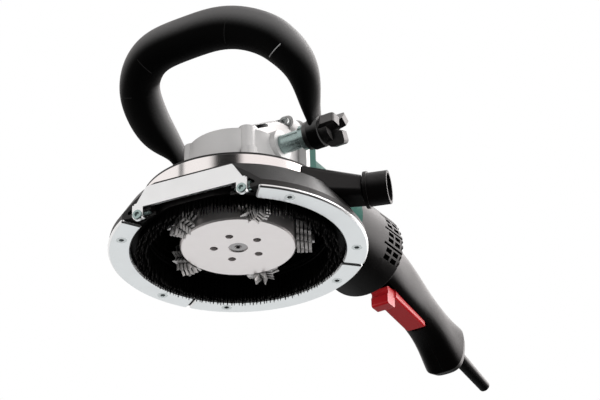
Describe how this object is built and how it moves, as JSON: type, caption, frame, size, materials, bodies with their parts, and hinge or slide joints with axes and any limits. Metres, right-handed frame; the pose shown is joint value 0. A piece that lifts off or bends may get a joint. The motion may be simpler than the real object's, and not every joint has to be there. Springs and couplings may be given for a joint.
{
  "type": "renovation grinder",
  "caption": "Hand-held renovation grinder: star-wheel milling head in a guard with a brush ring and a hinged segment, gear head with a bow handle, and a paddle-switch grip.",
  "frame": {"origin": "centre of the milling disc's working face, on the spindle axis", "axes": "+Z along the spindle away from the work, +X along the motor towards the rear grip"},
  "size_m": [0.5342, 0.2428, 0.2078],
  "materials": {
    "disc_steel": "ground",
    "cutter_steel": "hardened",
    "shaft_steel": "ground",
    "gear_steel": "hardened",
    "bearing_steel": "polished",
    "screw_steel": "zinc plated",
    "cast_alloy": "satin casting",
    "collar_steel": "polished",
    "plate_steel": "bright zinc",
    "zinc": "zinc plated",
    "black_plastic": "fine grain",
    "black_rubber": "soft",
    "green_plastic": "satin",
    "red_plastic": "satin",
    "bristle": "fibre",
    "lamination": "stacked sheet",
    "copper": "lacquered wire",
    "carbon": "sintered",
    "fan_plastic": "moulded"
  },
  "bodies": {
    "base": {"bearing_cap": "cast_alloy", "retaining_ring": "shaft_steel", "spindle_bearing_lower": "bearing_steel", "spindle_bearing_upper": "bearing_steel", "cap_screws": "screw_steel", "gear_housing": "cast_alloy", "flange_screws": "screw_steel", "motor_tub": "green_plastic", "stator_core": "lamination", "field_coils": "copper", "rotor_bearing_front": "bearing_steel", "rotor_bearing_rear": "bearing_steel", "carbon_brushes": "carbon", "brush_boxes": "zinc", "housing_left": "black_plastic", "housing_right": "black_plastic", "housing_screws": "screw_steel", "switch_block": "black_plastic", "paddle_pin": "shaft_steel", "cable_sleeve": "black_rubber", "handle_stud": "zinc", "tooth_disc": "black_plastic", "pivot_bolt": "zinc"},
    "guard": {"guard_shell": "black_plastic", "steel_collar": "collar_steel", "wear_plate_rear": "plate_steel", "wear_plate_left": "plate_steel", "wear_plate_right": "plate_steel", "plate_screws": "screw_steel", "brush_holder": "black_plastic", "brush_arc_1": "bristle", "brush_arc_2": "bristle", "brush_arc_3": "bristle", "brush_arc_4": "bristle", "brush_arc_5": "bristle", "brush_arc_6": "bristle", "hinge_screws": "zinc", "dust_duct": "black_plastic"},
    "flip": {"flip_segment": "plate_steel", "pad_screws": "zinc"},
    "stub": {"hose_stub": "black_plastic"},
    "spindle_set": {"spindle": "shaft_steel", "crown_gear": "gear_steel", "milling_disc": "disc_steel", "star_axles": "shaft_steel"},
    "rotor": {"rotor_shaft": "shaft_steel", "rotor_core": "lamination", "commutator": "copper", "fan": "fan_plastic", "drive_pinion": "gear_steel"},
    "bow": {"bow_handle": "black_rubber"},
    "knob": {"wing_knob": "black_plastic"},
    "paddle": {"paddle_switch": "red_plastic"},
    "lever": {"lock_lever": "red_plastic"},
    "lock": {"spindle_lock_button": "black_plastic"},
    "stars_1": {"star_pack_1": "cutter_steel"},
    "stars_2": {"star_pack_2": "cutter_steel"},
    "stars_3": {"star_pack_3": "cutter_steel"},
    "stars_4": {"star_pack_4": "cutter_steel"},
    "stars_5": {"star_pack_5": "cutter_steel"}
  },
  "joints": [
    {"name": "guard_turn", "type": "hinge", "parent": "base", "child": "guard", "pos_m": [0, 0, 0.035], "axis": [0, 0, 1], "range_deg": [-45, 45]},
    {"name": "flip_hinge", "type": "hinge", "parent": "guard", "child": "flip", "pos_m": [-0.08152, -0.00886, 0.0028], "axis": [-0.108, 0.9942, 0], "range_deg": [-90, 0]},
    {"name": "hose_swivel", "type": "hinge", "parent": "guard", "child": "stub", "pos_m": [0.0162, -0.111, 0.0265], "axis": [0.309, -0.9511, 0], "continuous": true},
    {"name": "spindle_spin", "type": "hinge", "parent": "base", "child": "spindle_set", "pos_m": [0, 0, 0], "axis": [0, 0, 1], "continuous": true},
    {"name": "rotor_spin", "type": "hinge", "parent": "base", "child": "rotor", "pos_m": [0, 0, 0.091], "axis": [1, 0, 0], "continuous": true},
    {"name": "stars_1_spin", "type": "hinge", "parent": "spindle_set", "child": "stars_1", "pos_m": [0.05301, 0.0103, 0.009], "axis": [0.9816, 0.1908, 0], "continuous": true},
    {"name": "stars_2_spin", "type": "hinge", "parent": "spindle_set", "child": "stars_2", "pos_m": [0.00658, 0.0536, 0.009], "axis": [0.1219, 0.9925, 0], "continuous": true},
    {"name": "stars_3_spin", "type": "hinge", "parent": "spindle_set", "child": "stars_3", "pos_m": [-0.04894, 0.02282, 0.009], "axis": [-0.9063, 0.4226, 0], "continuous": true},
    {"name": "stars_4_spin", "type": "hinge", "parent": "spindle_set", "child": "stars_4", "pos_m": [-0.03683, -0.03949, 0.009], "axis": [-0.682, -0.7314, 0], "continuous": true},
    {"name": "stars_5_spin", "type": "hinge", "parent": "spindle_set", "child": "stars_5", "pos_m": [0.02618, -0.04723, 0.009], "axis": [0.4848, -0.8746, 0], "continuous": true},
    {"name": "bow_tilt", "type": "hinge", "parent": "base", "child": "bow", "pos_m": [0, 0, 0.084], "axis": [0, 1, 0], "range_deg": [-45, 40]},
    {"name": "knob_turn", "type": "hinge", "parent": "base", "child": "knob", "pos_m": [0, -0.09, 0.084], "axis": [0, -1, 0], "range_deg": [-180, 180]},
    {"name": "paddle_press", "type": "hinge", "parent": "base", "child": "paddle", "pos_m": [0.302, 0, 0.068], "axis": [0, 1, 0], "range_deg": [0, 5], "stiffness_Nm_per_rad": 4, "springref_deg": -5.73},
    {"name": "lever_swing", "type": "hinge", "parent": "paddle", "child": "lever", "pos_m": [0.2446, 0, 0.067], "axis": [0, 1, 0], "range_deg": [0, 15], "stiffness_Nm_per_rad": 0.15, "springref_deg": -11.46},
    {"name": "lock_press", "type": "slide", "parent": "base", "child": "lock", "axis": [0, 0, -1], "range_m": [0, 0.0048], "stiffness_N_per_m": 500, "springref_m": -0.003}
  ],
  "couplings": [
    {"joint": "rotor_spin", "follows": "spindle_spin", "ratio": 3.5}
  ]
}
